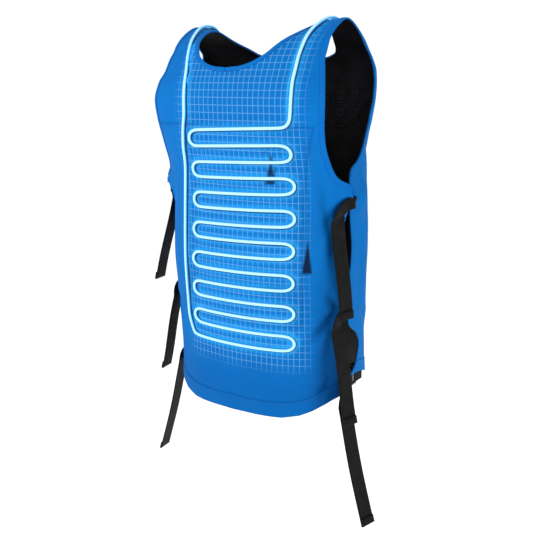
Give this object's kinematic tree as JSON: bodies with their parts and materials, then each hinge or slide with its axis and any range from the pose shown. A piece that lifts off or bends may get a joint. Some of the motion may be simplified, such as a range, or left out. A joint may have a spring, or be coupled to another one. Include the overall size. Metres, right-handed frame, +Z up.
{
  "type": "cooling vest",
  "caption": "Sleeveless cooling vest with a coolant tube winding over the back, a quilted lining and adjustable side straps.",
  "frame": {"origin": "between the shoulders, on the middle line at the height of the shoulder ridge, where the body that wears the vest would carry it", "axes": "+Z up along the torso, the wearer faces -Y, and the wearer's right is -X"},
  "size_m": [0.4722, 0.3069, 0.8846],
  "materials": {
    "blue_cloth": "bright blue woven cloth, matt",
    "dark_blue_tape": "blue tape sewn round the edges",
    "black_lining": "black quilted lining, soft sheen",
    "pale_tube": "pale cyan soft tube that looks lit",
    "black_webbing": "black ribbed webbing",
    "black_plastic": "black moulded plastic, satin"
  },
  "bodies": {
    "root": {"back_panel": "blue_cloth", "front_panel": "blue_cloth", "front_lining": "black_lining", "armhole_binding_right": "dark_blue_tape", "armhole_binding_left": "dark_blue_tape", "neck_binding": "dark_blue_tape", "hem_band_back": "blue_cloth", "hem_band_front": "blue_cloth", "back_pocket": "blue_cloth", "pocket_flap": "blue_cloth", "cooling_tube": "pale_tube", "strap_tail_upper_right": "black_webbing", "strap_anchor_upper_right": "black_webbing", "buckle_tab_upper_right": "black_webbing", "buckle_upper_right": "black_plastic", "strap_tail_upper_left": "black_webbing", "strap_anchor_upper_left": "black_webbing", "buckle_tab_upper_left": "black_webbing", "buckle_upper_left": "black_plastic", "strap_tail_middle_right": "black_webbing", "strap_anchor_middle_right": "black_webbing", "buckle_tab_middle_right": "black_webbing", "buckle_middle_right": "black_plastic", "strap_tail_middle_left": "black_webbing", "strap_anchor_middle_left": "black_webbing", "buckle_tab_middle_left": "black_webbing", "buckle_middle_left": "black_plastic", "strap_tail_lower_right": "black_webbing", "strap_anchor_lower_right": "black_webbing", "buckle_tab_lower_right": "black_webbing", "buckle_lower_right": "black_plastic", "strap_tail_lower_left": "black_webbing", "strap_anchor_lower_left": "black_webbing", "buckle_tab_lower_left": "black_webbing", "buckle_lower_left": "black_plastic"}
  },
  "joints": []
}
